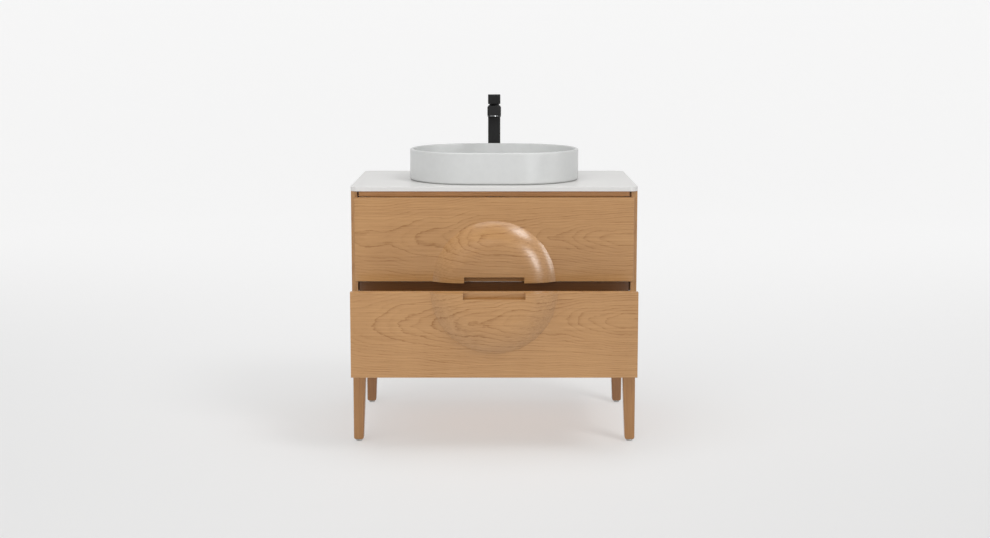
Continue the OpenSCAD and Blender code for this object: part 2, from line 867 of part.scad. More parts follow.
module upper_rail_outer() { slide_pair(0, outer_w, slide_h, rail_up_z, 0); }
module upper_rail_middle() {
    slide_pair(mid_x, middle_w, mid_h, rail_up_z, 0);
    ball_cages(rail_up_z, 0);
}
module upper_rail_inner() { slide_pair(in_x, inner_w, in_h, rail_up_z, 0, true); }
module lower_rail_outer() { slide_pair(0, outer_w, slide_h, rail_low_z, 0); }
module lower_rail_middle() {
    slide_pair(mid_x, middle_w, mid_h, rail_low_z, low_open / 2);
    ball_cages(rail_low_z, low_open / 2);
}
module lower_rail_inner() { slide_pair(in_x, inner_w, in_h, rail_low_z, low_open, true); }

side_left();
side_right();
bottom_panel();
top_rail();
mid_rail();
back_rail_upper();
back_rail_lower();
countertop();
leg_front_left();
leg_front_right();
leg_back_left();
leg_back_right();
leg_bolts();
glides();
basin();
basin_seal();
waste_flange();
waste_nut();
waste_washer();
waste_plug();
trap_inlet();
trap_nuts();
trap_body();
trap_cup();
trap_outlet();
tap_gasket();
tap_column();
tap_spout();
tap_aerator();
tap_cartridge();
tap_dome();
tap_stem();
tap_handle();
tap_grub_screw();
tap_shank();
tap_washer();
tap_nut();
upper_front();
upper_side_left();
upper_side_right();
upper_back_left();
upper_back_right();
upper_bay_walls();
upper_base();
lower_front();
lower_side_left();
lower_side_right();
lower_back();
lower_base();
upper_rail_outer();
upper_rail_middle();
upper_rail_inner();
lower_rail_outer();
lower_rail_middle();
lower_rail_inner();
front_screws_upper();
front_screws_lower();
rail_dowels();
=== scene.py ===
"""Looks of an oak vanity with a vessel basin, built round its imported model, in metres."""

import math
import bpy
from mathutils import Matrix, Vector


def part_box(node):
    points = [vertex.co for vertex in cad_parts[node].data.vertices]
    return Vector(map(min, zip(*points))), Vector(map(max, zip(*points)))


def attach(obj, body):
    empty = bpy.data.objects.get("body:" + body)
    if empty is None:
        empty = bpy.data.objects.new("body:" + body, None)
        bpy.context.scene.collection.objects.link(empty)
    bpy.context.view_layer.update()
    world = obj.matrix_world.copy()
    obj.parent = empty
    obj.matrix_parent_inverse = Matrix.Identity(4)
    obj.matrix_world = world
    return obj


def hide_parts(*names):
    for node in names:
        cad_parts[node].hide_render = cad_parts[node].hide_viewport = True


bl_info = {
    "name": "Vanity With Vessel Basin",
    "version": (1, 0, 0),
    "blender": (4, 5, 0),
    "location": "3D View > Sidebar > Vanity",
    "description": "Finishes and fine pieces of an oak vanity with a vessel basin",
    "category": "Object",
}

import bpy
import numpy as np
from bpy.props import FloatProperty, FloatVectorProperty, PointerProperty
from mathutils import Vector

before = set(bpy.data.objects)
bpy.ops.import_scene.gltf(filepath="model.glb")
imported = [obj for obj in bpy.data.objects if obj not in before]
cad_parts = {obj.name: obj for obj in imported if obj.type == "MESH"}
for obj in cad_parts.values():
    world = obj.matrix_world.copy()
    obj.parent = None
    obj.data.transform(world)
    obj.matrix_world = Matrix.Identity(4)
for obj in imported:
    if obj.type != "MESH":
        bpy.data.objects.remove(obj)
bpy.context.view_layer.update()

MM = 0.001
TAU = 2 * math.pi


def linear(code):
    """Linear colour of an sRGB hex code: c / 12.92 below 0.04045, else ((c + 0.055) / 1.055) ** 2.4."""
    parts = [int(code[i:i + 2], 16) / 255 for i in (1, 3, 5)]
    return tuple(c / 12.92 if c <= 0.04045 else ((c + 0.055) / 1.055) ** 2.4 for c in parts)


# ---------------------------------------------------------------- sizes and colours


class VanitySizes(bpy.types.PropertyGroup):
    """Sizes of the fine pieces, which the CAD model leaves plain."""

    rim_radius: FloatProperty(
        name="Rim Radius", description="Rounding of the basin's rim", default=3.4 * MM,
        min=1 * MM, max=4.5 * MM, unit="LENGTH")
    leg_edge: FloatProperty(
        name="Leg Edge", description="Rounding of a leg's long edges", default=4.2 * MM,
        min=1 * MM, max=8 * MM, unit="LENGTH")
    leg_end: FloatProperty(
        name="Leg End", description="Rounding of a leg's lower end", default=7 * MM,
        min=1 * MM, max=9 * MM, unit="LENGTH")
    bead_radius: FloatProperty(
        name="Bead Radius", description="Thickness of the silicone bead under the basin", default=1.3 * MM,
        min=0.5 * MM, max=3 * MM, unit="LENGTH")


class VanityColours(bpy.types.PropertyGroup):
    """Colours of the visible finishes."""

    oak_light: FloatVectorProperty(
        name="Oak Light", description="Early wood of the oak", default=linear("#c0925e"),
        min=0, max=1, size=3, subtype="COLOR")
    oak_dark: FloatVectorProperty(
        name="Oak Dark", description="Late wood of the oak", default=linear("#92612b"),
        min=0, max=1, size=3, subtype="COLOR")
    stone: FloatVectorProperty(
        name="Stone", description="Light stone of the countertop", default=linear("#d6d5d3"),
        min=0, max=1, size=3, subtype="COLOR")
    glaze: FloatVectorProperty(
        name="Glaze", description="Matt glaze of the basin", default=linear("#cecfce"),
        min=0, max=1, size=3, subtype="COLOR")
    black: FloatVectorProperty(
        name="Black", description="Powder coat of the tap", default=linear("#171717"),
        min=0, max=1, size=3, subtype="COLOR")
    floor: FloatVectorProperty(
        name="Floor", description="Studio floor and backdrop", default=linear("#f0f0f0"),
        min=0, max=1, size=3, subtype="COLOR")


# ---------------------------------------------------------------- meshes


def grid_faces(rows, cols, wrap_rows, wrap_cols):
    """Quads of a rows x cols grid of points, row by row, which may wrap round either way."""
    r = np.arange(rows if wrap_rows else rows - 1)[:, None]
    c = np.arange(cols if wrap_cols else cols - 1)[None, :]
    r2, c2 = (r + 1) % rows, (c + 1) % cols
    quads = np.stack([r * cols + c, r * cols + c2, r2 * cols + c2, r2 * cols + c], -1)
    return quads.reshape(-1, 4)


def cap_faces(start, cols, pole, flip):
    """Triangles from a row of points that starts at start to one pole point."""
    c = np.arange(cols)
    a, b = start + c, start + (c + 1) % cols
    return np.stack([b, a, np.full(cols, pole)] if flip else [a, b, np.full(cols, pole)], -1)


def new_piece(name, parts, material, body, replaced):
    """One smooth mesh from parts, each its points and blocks of faces, riding on a body."""
    points, faces, start = [], [], 0
    for part_points, part_faces in parts:
        points.append(part_points)
        for block in part_faces:
            faces += (block + start).tolist()
        start += len(part_points)
    mesh = bpy.data.meshes.new(name)
    mesh.from_pydata(np.concatenate(points).tolist(), [], faces)
    mesh.validate()
    mesh.polygons.foreach_set("use_smooth", np.full(len(mesh.polygons), True))
    mesh.materials.append(material)
    mesh.update()
    piece = bpy.data.objects.new(name, mesh)
    bpy.context.scene.collection.objects.link(piece)
    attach(piece, body)
    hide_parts(replaced)


def loft(rings, closed_section=False):
    """Points and faces of rings[m, n, 3], each a closed ring, joined to the next one in order.

    The last ring joins the first when the section is closed. Otherwise a fan to its middle shuts each end ring.
    """
    m, n = rings.shape[:2]
    points = rings.reshape(-1, 3)
    faces = [grid_faces(m, n, closed_section, True)]
    if not closed_section:
        points = np.vstack([points, rings[0].mean(0), rings[-1].mean(0)])
        faces += [cap_faces(0, n, m * n, True), cap_faces((m - 1) * n, n, m * n + 1, False)]
    return points, faces


def arc(cx, cy, r, start, end, steps):
    """Points on a circle of radius r about (cx, cy) from start to end, in degrees."""
    a = np.radians(np.linspace(start, end, steps))
    return np.stack([cx + r * np.cos(a), cy + r * np.sin(a)], -1)


def round_rectangle(w, d, r, steps=7, support=0.6 * MM):
    """Closed ring of a w x d rectangle with corner arcs of radius r and a support point beside each arc."""
    ring = []
    for k, (sx, sy) in enumerate(((1, 1), (-1, 1), (-1, -1), (1, -1))):
        corner = arc(sx * (w / 2 - r), sy * (d / 2 - r), r, 90 * k, 90 * k + 90, steps)
        # Straight on from either end of the arc
        before, after = support * arc(0, 0, 1, 90 * k - 90, 90 * k + 180, 2)
        ring += [corner[0] + before, *corner, corner[-1] + after]
    return np.array(ring)


def turned(profile, centre, steps=64):
    """Rings of a profile (radius, height) turned about the vertical axis through centre."""
    a = np.linspace(0, TAU, steps, endpoint=False)
    p = np.asarray(profile)
    r, z = p[:, 0][:, None], p[:, 1][:, None]
    x = centre[0] + r * np.cos(a)
    y = centre[1] + r * np.sin(a)
    return np.stack([x, y, centre[2] + z + 0 * x], -1)


# ---------------------------------------------------------------- materials


def add(mat, kind, *values, named=None, stops=(), out=0, **settings):
    """Adds a node to a material and returns one of its outputs.

    Values fill its inputs in order and named ones by name: a socket is linked, and anything else is set. Stops
    are the (position, colour) pairs of a colour ramp, and settings are the node's own.
    """
    node = mat.node_tree.nodes.new("ShaderNode" + kind)
    for key, value in settings.items():
        setattr(node, key, value)
    for key, value in (*enumerate(values), *(named or {}).items()):
        if isinstance(value, bpy.types.NodeSocket):
            mat.node_tree.links.new(value, node.inputs[key])
        else:
            node.inputs[key].default_value = value
    for index, (position, colour) in enumerate(stops):
        elements = node.color_ramp.elements
        element = elements[index] if index < len(elements) else elements.new(position)
        element.position, element.color = position, (*colour, 1)
    return node.outputs[out]


def new_material(name, base, roughness, metallic=0.0, **inputs):
    """A material with one principled shader, its colour, roughness and metallic set on its own sockets."""
    mat = bpy.data.materials.new(name)
    mat.use_nodes = True
    shader = mat.node_tree.nodes["Principled BSDF"]
    shader.inputs["Base Color"].default_value = (*base, 1)
    shader.inputs["Roughness"].default_value = roughness
    shader.inputs["Metallic"].default_value = metallic
    for key, value in inputs.items():
        shader.inputs[key.replace("_", " ")].default_value = value
    mat.diffuse_color = (*base, 1)
    return mat, shader


def wire(mat, shader, **sockets):
    """Links outputs to the shader's inputs, each named with an underscore for a space."""
    for name, socket in sockets.items():
        mat.node_tree.links.new(socket, shader.inputs[name.replace("_", " ")])


def oak(name, light, dark, along="X", across="Z", heart=0.0, near=0.078, slant=0.09, ring=5.4 * MM, shift=0.0):
    """Flat-sawn oak under a clear satin lacquer, which gives the eye pointed arches between fine streaks.

    A growth ring's radius at a point of the board is sqrt(a * a + h * h), where a is the distance across
    the board from its heart line and h is the board's depth above the pith, which falls along the board
    by slant. Rings cross the heart line as nested pointed arches and close up beside it into fine streaks.
    Noise in both terms makes the arches wander, and late wood darkens the end of each ring.
    """
    mat, shader = new_material(name, light, 0.36, Coat_Weight=0.7, Coat_Roughness=0.2)
    place = add(mat, "TexCoord", out="Object")
    length, width = (add(mat, "SeparateXYZ", place, out=axis) for axis in (along, across))
    # By use: features per metre along and across the grain, octaves, roughness and shift. Fibres are about
    # 3 mm apart, coarser than real ones so that they show, and pores are dashes of 9 mm by 0.8 mm
    uses = {"broad": (2.2, 5, 2, 0.5, 0), "slope": (6, 3, 1, 0.5, 8), "bend": (13, 42, 3, 0.6, 3),
            "fine": (55, 240, 2, 0.5, 5), "fibre": (6, 300, 3, 0.6, 0), "pore": (110, 1300, 1, 0.5, 0),
            "blotch": (14, 9, 2, 0.5, 11)}
    noise = {}
    for use, (long, wide, detail, rough, move) in uses.items():
        stretch = tuple(long if axis == along else wide for axis in "XYZ")
        moved = add(mat, "Mapping", place, named={"Scale": stretch, "Location": (shift + move,) * 3})
        noise[use] = add(mat, "TexNoise", moved, named={"Scale": 1, "Detail": detail, "Roughness": rough}, out="Fac")

    aside = add(mat, "Math", noise["broad"], 0.04, -heart - 0.02, operation="MULTIPLY_ADD")
    aside = add(mat, "Math", aside, width, operation="ADD")
    depth = add(mat, "Math", length, -slant, near - 0.0175, operation="MULTIPLY_ADD")
    depth = add(mat, "Math", noise["slope"], 0.035, depth, operation="MULTIPLY_ADD")
    radius = add(mat, "Math", depth, depth, operation="MULTIPLY")
    radius = add(mat, "Math", aside, aside, radius, operation="MULTIPLY_ADD")
    radius = add(mat, "Math", radius, operation="SQRT")
    for use, swing in (("bend", 8 * MM), ("fine", 1.8 * MM)):
        middle = add(mat, "Math", noise[use], 0.5, operation="SUBTRACT")
        radius = add(mat, "Math", middle, swing, radius, operation="MULTIPLY_ADD")
    years = add(mat, "Math", radius, ring, operation="DIVIDE")
    age = add(mat, "Math", years, operation="FRACT")
    late = add(mat, "ValToRGB", age, stops=[(at, (share,) * 3) for at, share in (
        (0.0, 0.2), (0.12, 0.0), (0.55, 0.16), (0.8, 0.6), (0.92, 1.0), (1.0, 0.2))])
    # Rings differ in strength from year to year
    year = add(mat, "Math", years, operation="FLOOR")
    chance = add(mat, "TexWhiteNoise", named={"W": year}, out="Value", noise_dimensions="1D")
    strength = add(mat, "MapRange", chance, named={"To Min": 0.3, "To Max": 1.0})
    lines = add(mat, "Math", late, strength, operation="MULTIPLY")
    pores = add(mat, "ValToRGB", noise["pore"], stops=[(0.34, (1.0,) * 3), (0.44, (0.0,) * 3)])

    tone = -0.36
    for layer, share in ((lines, 0.46), (noise["fibre"], 1.0), (noise["blotch"], 0.28), (pores, 0.1)):
        tone = add(mat, "Math", layer, share, tone, operation="MULTIPLY_ADD")
    tone.node.use_clamp = True
    between = tuple(0.45 * a + 0.55 * b for a, b in zip(dark, light))
    deep = tuple(0.72 * c for c in dark)
    colour = add(mat, "ValToRGB", tone, stops=[(0.0, light), (0.5, between), (0.85, dark), (1.0, deep)])
    rough = add(mat, "MapRange", tone, named={"To Min": 0.31, "To Max": 0.42})
    relief = add(mat, "Math", noise["fibre"], 0.6, operation="MULTIPLY")
    relief = add(mat, "Math", relief, pores, operation="SUBTRACT")
    bump = add(mat, "Bump", named={"Height": relief, "Strength": 0.2, "Distance": 0.04 * MM})
    wire(mat, shader, Base_Color=colour, Roughness=rough, Normal=bump)
    return mat


def birch(name, through="X"):
    """Birch plywood under matt lacquer: pale, with faint streaks, and its plies as lines on upper edges."""
    light, dark = linear("#dcc6a0"), linear("#c2a377")
    mat, shader = new_material(name, light, 0.5)
    place = add(mat, "TexCoord", out="Object")
    moved = add(mat, "Mapping", place, named={"Scale": (12, 12, 130)})
    grain = add(mat, "TexNoise", moved, named={"Scale": 1, "Detail": 5, "Roughness": 0.65}, out="Fac")
    # Two plies take 2.7 mm, and every other one shows its dark end grain
    plies = add(mat, "Math", add(mat, "SeparateXYZ", place, out=through), 2.7 * MM, operation="DIVIDE")
    plies = add(mat, "Math", plies, operation="FRACT")
    dark_ply = add(mat, "ValToRGB", plies, stops=[(at, (share,) * 3) for at, share in (
        (0.42, 0.0), (0.5, 1.0), (0.92, 0.8), (1.0, 0.0))])
    up = add(mat, "SeparateXYZ", add(mat, "TexCoord", out="Normal"), out="Z")
    edge = add(mat, "Math", up, 0.7, operation="GREATER_THAN")
    lines = add(mat, "Math", dark_ply, edge, operation="MULTIPLY")
    tone = add(mat, "Math", lines, 0.8, grain, operation="MULTIPLY_ADD", use_clamp=True)
    deep = tuple(0.6 * c for c in dark)
    colour = add(mat, "ValToRGB", tone, stops=[(0.3, light), (0.7, dark), (1.0, deep)])
    bump = add(mat, "Bump", named={"Height": grain, "Strength": 0.15, "Distance": 0.05 * MM})
    wire(mat, shader, Base_Color=colour, Normal=bump)
    return mat


def birch_sheet(name):
    """Thin birch sheet of the drawer bottoms: rotary cut, with long, wide and faint waves of grain."""
    light, dark = linear("#d8c29c"), linear("#c6a97f")
    mat, shader = new_material(name, light, 0.55)
    place = add(mat, "TexCoord", out="Object")
    moved = add(mat, "Mapping", place, named={"Scale": (5, 40, 40)})
    wave = add(mat, "TexNoise", moved, named={"Scale": 1, "Detail": 4, "Roughness": 0.6}, out="Fac")
    fold = add(mat, "Math", wave, 0.12, operation="PINGPONG")
    colour = add(mat, "ValToRGB", fold, stops=[(0.0, light), (0.12, dark)])
    bump = add(mat, "Bump", named={"Height": wave, "Strength": 0.1, "Distance": 0.05 * MM})
    wire(mat, shader, Base_Color=colour, Normal=bump)
    return mat


def stone(name, base):
    """Honed engineered stone: pale, with grains of 2.4 mm that hardly differ, and a low sheen."""
    mat, shader = new_material(name, base, 0.28)
    place = add(mat, "TexCoord", out="Object")
    cloud = add(mat, "TexNoise", place, named={"Scale": 9, "Detail": 6}, out="Fac")
    grit = add(mat, "TexVoronoi", place, named={"Scale": 420}, out="Color")
    grit = add(mat, "Math", grit, 0.4, operation="MULTIPLY")
    mix = add(mat, "Math", cloud, 0.6, grit, operation="MULTIPLY_ADD")
    low = tuple(c * 0.98 for c in base)
    high = tuple(min(1, c * 1.02) for c in base)
    colour = add(mat, "ValToRGB", mix, stops=[(0.2, low), (0.8, high)])
    rough = add(mat, "MapRange", cloud, named={"To Min": 0.3, "To Max": 0.36})
    wire(mat, shader, Base_Color=colour, Roughness=rough)
    return mat


def ceramic(name, base):
    """Vitreous china under a matt glaze: even and pale, with a faint waviness of 17 mm from the firing."""
    mat, shader = new_material(name, base, 0.38, Coat_Weight=0.15, Coat_Roughness=0.3)
    place = add(mat, "TexCoord", out="Object")
    wave = add(mat, "TexNoise", place, named={"Scale": 60, "Detail": 2}, out="Fac")
    low = tuple(c * 0.97 for c in base)
    colour = add(mat, "ValToRGB", wave, stops=[(0.3, low), (0.7, base)])
    bump = add(mat, "Bump", named={"Height": wave, "Strength": 0.12, "Distance": 0.1 * MM})
    wire(mat, shader, Base_Color=colour, Normal=bump)
    return mat


def powder_coat(name, base):
    """Matt powder coat baked on brass: an orange peel of 0.7 mm breaks up its dull reflections."""
    mat, shader = new_material(name, base, 0.5, Specular_IOR_Level=0.35)
    place = add(mat, "TexCoord", out="Object")
    peel = add(mat, "TexNoise", place, named={"Scale": 1500, "Detail": 2}, out="Fac")
    rough = add(mat, "MapRange", peel, named={"To Min": 0.4, "To Max": 0.52})
    bump = add(mat, "Bump", named={"Height": peel, "Strength": 0.2, "Distance": 0.05 * MM})
    wire(mat, shader, Roughness=rough, Normal=bump)
    return mat


def metal(name, base, roughness, stretch=(1, 1, 1), scale=400.0, spread=0.08):
    """Bare or plated metal whose roughness varies along fine lines or grains, scale of them in a metre."""
    mat, shader = new_material(name, base, roughness, metallic=1.0)
    moved = add(mat, "Mapping", add(mat, "TexCoord", out="Object"), named={"Scale": stretch})
    lines = add(mat, "TexNoise", moved, named={"Scale": scale, "Detail": 3}, out="Fac")
    rough = add(mat, "MapRange", lines, named={"To Min": roughness - spread, "To Max": roughness + spread})
    bump = add(mat, "Bump", named={"Height": lines, "Strength": 0.08, "Distance": 0.02 * MM})
    wire(mat, shader, Roughness=rough, Normal=bump)
    return mat


def rubber(name, base, roughness=0.7):
    """Moulded rubber or silicone: dull, with a grain of 1 mm."""
    mat, shader = new_material(name, base, roughness)
    grain = add(mat, "TexNoise", add(mat, "TexCoord", out="Object"), named={"Scale": 900, "Detail": 2}, out="Fac")
    bump = add(mat, "Bump", named={"Height": grain, "Strength": 0.15, "Distance": 0.05 * MM})
    wire(mat, shader, Normal=bump)
    return mat


# Finishes by name, filled by the first operator
MATERIALS = {}


def nodes_from(prefix):
    """Names of the CAD nodes that start with a prefix."""
    return [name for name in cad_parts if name.startswith(prefix)]


# ---------------------------------------------------------------- operators


class VANITY_OT_materials(bpy.types.Operator):
    """Make the finishes and give them to the CAD nodes"""

    bl_idname = "vanity.materials"
    bl_label = "Finishes"

    def execute(self, context):
        colours = context.scene.vanity_colours
        light, dark = colours.oak_light, colours.oak_dark
        upper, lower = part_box("upper_front"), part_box("lower_front")
        heart_up = upper[0].z + 0.52 * (upper[1].z - upper[0].z)
        heart_low = lower[0].z + 0.66 * (lower[1].z - lower[0].z)

        def shade(*factors):
            """The two oak colours, each channel times its factor: a darker tone for the front legs, and copies
            painted lighter or darker to stand in for light and shade on the rails and rear legs.
            """
            return [tuple(f * c for f, c in zip(factors, tone)) for tone in (light, dark)]

        leg = {"along": "Z", "across": "X", "near": 0.05, "slant": 0.05, "ring": 4 * MM}
        MATERIALS.update(
            oak_up=oak("oak veneer upper front", light, dark, heart=heart_up),
            oak_low=oak("oak veneer lower front", light, dark, heart=heart_low, shift=0.18),
            # Oak painted lighter: painted light on the top rail under the countertop's overhang, also worn by the
            # bottom panel and back rails
            oak_rail=oak("oak rail", *shade(1.34, 1.22, 1.06), heart=0.52, shift=4.0),
            # Oak painted darker: painted shade on the mid rail, which shows only as shade in the gap between the
            # fronts
            oak_dark_rail=oak("rail oak painted shade", *shade(0.3, 0.23, 0.17), heart=0.3, shift=5.0),
            oak_side=oak("oak side", light, dark, "Z", "Y", heart=0.06, near=0.09, shift=7.0),
            oak_leg=oak("oak leg", *shade(0.8, 0.72, 0.56), shift=2.0, **leg),
            # Oak painted darker: painted shade on the rear legs, which stand in the cabinet's shadow
            oak_rear=oak("rear leg oak painted shade", *shade(0.6, 0.5, 0.37), shift=9.0, **leg),
            birch=birch("birch plywood"),
            birch_back=birch("birch plywood back", "Y"),
            birch_base=birch_sheet("birch sheet"),
            stone=stone("engineered stone", colours.stone),
            ceramic=ceramic("matt glazed china", colours.glaze),
            black=powder_coat("black powder coat", colours.black),
            chrome=metal("polished chrome", linear("#d6d8da"), 0.08, scale=60.0, spread=0.03),
            zinc=metal("zinc-plated steel", linear("#b9bcc0"), 0.32, stretch=(1, 0.05, 1)),
            brass=metal("turned brass", linear("#c8a45c"), 0.28, stretch=(1, 1, 6)),
            nickel=metal("satin nickel", linear("#b4b4b2"), 0.35),
            rubber=rubber("black rubber", linear("#232323")),
            silicone=rubber("grey silicone", linear("#8d8d8b"), 0.45),
        )
        wearers = {
            "oak_up": ["upper_front"],
            "oak_low": ["lower_front"],
            "oak_side": nodes_from("side_"),
            # Painted light on the top rail, bottom panel and back rails
            "oak_rail": ["top_rail", "bottom_panel", *nodes_from("back_rail")],
            # Painted shade on the mid rail
            "oak_dark_rail": ["mid_rail"],
            "oak_leg": nodes_from("leg_front"),
            # Painted shade on the rear legs
            "oak_rear": nodes_from("leg_back"),
            "birch": [*nodes_from("upper_side"), *nodes_from("lower_side"), "upper_bay_walls", "rail_dowels"],
            "birch_back": [*nodes_from("upper_back"), "lower_back"],
            "birch_base": ["upper_base", "lower_base"],
            "stone": ["countertop"],
            "ceramic": ["basin"],
            "silicone": ["basin_seal"],
            "black": ["tap_column", "tap_spout", "tap_dome", "tap_handle"],
            "chrome": ["waste_flange", "waste_plug", "waste_nut", "tap_aerator", *nodes_from("trap_")],
            "zinc": [*nodes_from("upper_rail"), *nodes_from("lower_rail"), *nodes_from("front_screws"),
                     "leg_bolts", "tap_grub_screw", "tap_cartridge"],
            "brass": ["tap_stem", "tap_shank", "tap_nut"],
            "nickel": ["glides"],
            "rubber": ["tap_gasket", "tap_washer", "waste_washer"],
        }
        for finish, nodes in wearers.items():
            for node in nodes:
                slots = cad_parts[node].data.materials
                slots.clear()
                slots.append(MATERIALS[finish])
        return {"FINISHED"}


def plan_curve(a, b, steps):
    """Closed plan of half width a and half depth b, with straight sides and half-round ends, and its normals.

    A distance s from the front of the right end runs round the end as the angle s / b, and then back along the
    straight side. The other half is the same curve turned by half a turn.
    """
    ends = math.pi * b
    side = 2 * (a - b)
    s = np.linspace(0, ends + side, steps // 2, endpoint=False)
    t = np.minimum(s, ends) / b - math.pi / 2
    x = np.where(s < ends, (a - b) + b * np.cos(t), (a - b) - (s - ends))
    y = np.where(s < ends, b * np.sin(t), b)
    nx = np.where(s < ends, np.cos(t), 0)
    ny = np.where(s < ends, np.sin(t), 1)
    curve, normal = np.stack([x, y], -1), np.stack([nx, ny], -1)
    return np.concatenate([curve, -curve]), np.concatenate([normal, -normal])


class VANITY_OT_basin(bpy.types.Operator):
    """Make the vessel basin with its soft rim and dished floor, and the bead that seals it"""

    bl_idname = "vanity.basin"
    bl_label = "Basin"

    def execute(self, context):
        # Each ring is the basin's plan moved inwards by an inset at a height, and below the wall a blend of that
        # plan with the drain's circle. The rings run over the rim, through the drain and back under the floor
        sizes = context.scene.vanity_sizes
        low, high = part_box("basin")
        a, b, h = (high.x - low.x) / 2, (high.y - low.y) / 2, high.z - low.z
        centre = np.array([(low.x + high.x) / 2, (low.y + high.y) / 2])
        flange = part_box("waste_flange")
        hole_r, seat_r = 22.5 * MM, (flange[1].x - flange[0].x) / 2 + 1 * MM
        seat_z = flange[1].z - 2.5 * MM - low.z
        curve, normal = plan_curve(a, b, 280)
        wall, foot, rim = 9.5 * MM, 5 * MM, sizes.rim_radius
        floor, fillet, draft = 13 * MM, 42 * MM, 1.5 * MM
        # Section from the foot up the outer face, over the rim and down to the fillet: (inset, height)
        section = np.vstack([
            arc(foot, foot, foot, 270, 180, 7),
            [[0, foot + (h - foot - rim) * k] for k in (0.04, 0.5, 0.96)],
            arc(rim, h - rim, rim, 180, 90, 9),
            [[wall / 2, h]],
            arc(wall - rim, h - rim, rim, 90, 0, 9),
            [[wall + draft * k, h - rim - (h - rim - floor - fillet) * k] for k in (0.06, 0.5, 0.94)],
            arc(wall + draft + fillet, floor + fillet, fillet, 180, 262, 16),
        ])
        rings = [centre + curve - normal * inset for inset, _ in section]
        heights = [z for _, z in section]
        inner = rings[-1] - centre
        angle = np.arctan2(inner[:, 1], inner[:, 0])
        circle = np.stack([np.cos(angle), np.sin(angle)], -1)
        # Floor: the last ring shrinks to a circle round the drain while it falls by the square of what is left
        drop = heights[-1] - floor
        for k in np.linspace(0.12, 1, 9):
            ease = k * k * (3 - 2 * k)
            rings.append(centre + inner * (1 - k) + circle * (seat_r + 4 * MM) * k)
            heights.append(floor + drop * (1 - k) ** 2 - 1.2 * MM * ease)
        for radius, z in ((seat_r, seat_z + 0.4 * MM), (seat_r - 0.6 * MM, seat_z), (hole_r, seat_z),
                          (hole_r, 0), (seat_r, 0)):
            rings.append(centre + circle * radius)
            heights.append(z)
        inset = curve - normal * foot
        for k in (0.35, 0.8):
            rings.append(centre + circle * seat_r * (1 - k) + inset * k)
            heights.append(0)
        rings = np.array(rings)
        z = np.repeat(np.array(heights)[:, None], rings.shape[1], 1) + low.z
        grid = np.concatenate([rings, z[..., None]], -1)
        new_piece("basin_shell", [loft(grid, closed_section=True)], MATERIALS["ceramic"], "cabinet",
                  "basin")
        # Bead: a small circle carried along the basin's foot
        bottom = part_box("basin_seal")[0].z
        r = sizes.bead_radius
        turn = np.linspace(0, TAU, 10, endpoint=False)
        bead = [np.concatenate([centre + curve - normal * (foot - 1.5 * MM - r * math.cos(t)),
                                np.full((len(curve), 1), bottom + r + r * math.sin(t))], 1) for t in turn]
        new_piece("basin_bead", [loft(np.array(bead), closed_section=True)], MATERIALS["silicone"], "cabinet",
                  "basin_seal")
        return {"FINISHED"}


class VANITY_OT_legs(bpy.types.Operator):
    """Make the four tapered legs with their rounded edges and ends"""

    bl_idname = "vanity.legs"
    bl_label = "Legs"

    def execute(self, context):
        # Square rings with rounded corners from the top down: straight for 45 mm, then narrowing to 28 mm towards
        # the outer corner, and at the end pulled in along a quarter of an oval
        sizes = context.scene.vanity_sizes
        for name in (*nodes_from("leg_front"), *nodes_from("leg_back")):
            low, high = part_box(name)
            sx = -1 if low.x < 0 else 1
            sy = -1 if "front" in name else 1
            top_w, foot_w = high.x - low.x, 28 * MM
            straight = high.z - 45 * MM
            outer = np.array([low.x if sx < 0 else high.x, low.y if sy < 0 else high.y])
            end = sizes.leg_end
            levels = [(high.z, top_w, 0), (straight + 3 * MM, top_w, 0), (straight, top_w, 0)]
            levels += [(straight + (low.z + end - straight) * k, top_w + (foot_w - top_w) * k, 0)
                       for k in (0.02, 0.25, 0.5, 0.75, 0.98)]
            levels += [(low.z + end - end * math.sin(t), foot_w, end * 0.62 * (1 - math.cos(t)))
                       for t in np.radians([0, 15, 30, 45, 60, 75, 90])]
            rings = []
            for z, w, inset in levels:
                ring = round_rectangle(w - 2 * inset, w - 2 * inset, sizes.leg_edge)
                middle = outer - np.array([sx, sy]) * w / 2
                rings.append(np.concatenate([middle + ring, np.full((len(ring), 1), z)], 1))
            # Rear legs take the oak painted darker with painted shade
            finish = MATERIALS["oak_leg" if "front" in name else "oak_rear"]
            new_piece(name + "_turned", [loft(np.array(rings[::-1]))], finish, "cabinet", name)
        return {"FINISHED"}


def ribbed(profile, centre, ribs, depth, steps=192):
    """Rings of a profile (radius, height, rib share) turned about the vertical axis, with rounded grip ribs.

    Radius at angle t is the profile's radius less depth times the share times (1 - |cos(ribs t / 2)|).
    """
    a = np.linspace(0, TAU, steps, endpoint=False)
    p = np.asarray(profile, float)
    groove = depth * (1 - np.abs(np.cos(ribs * a / 2)))
    r = p[:, 0][:, None] - p[:, 2][:, None] * groove
    return np.stack([centre[0] + r * np.cos(a), centre[1] + r * np.sin(a), centre[2] + p[:, 1][:, None] + 0 * r], -1)


def rounded_side(radius, low, high, edge, steps=5):
    """Profile of a turned side between two heights with both corners rounded, from the lower to the upper."""
    lower = arc(radius - edge, low + edge, edge, 270, 360, steps)
    upper = arc(radius - edge, high - edge, edge, 0, 90, steps)
    return np.vstack([lower, upper])


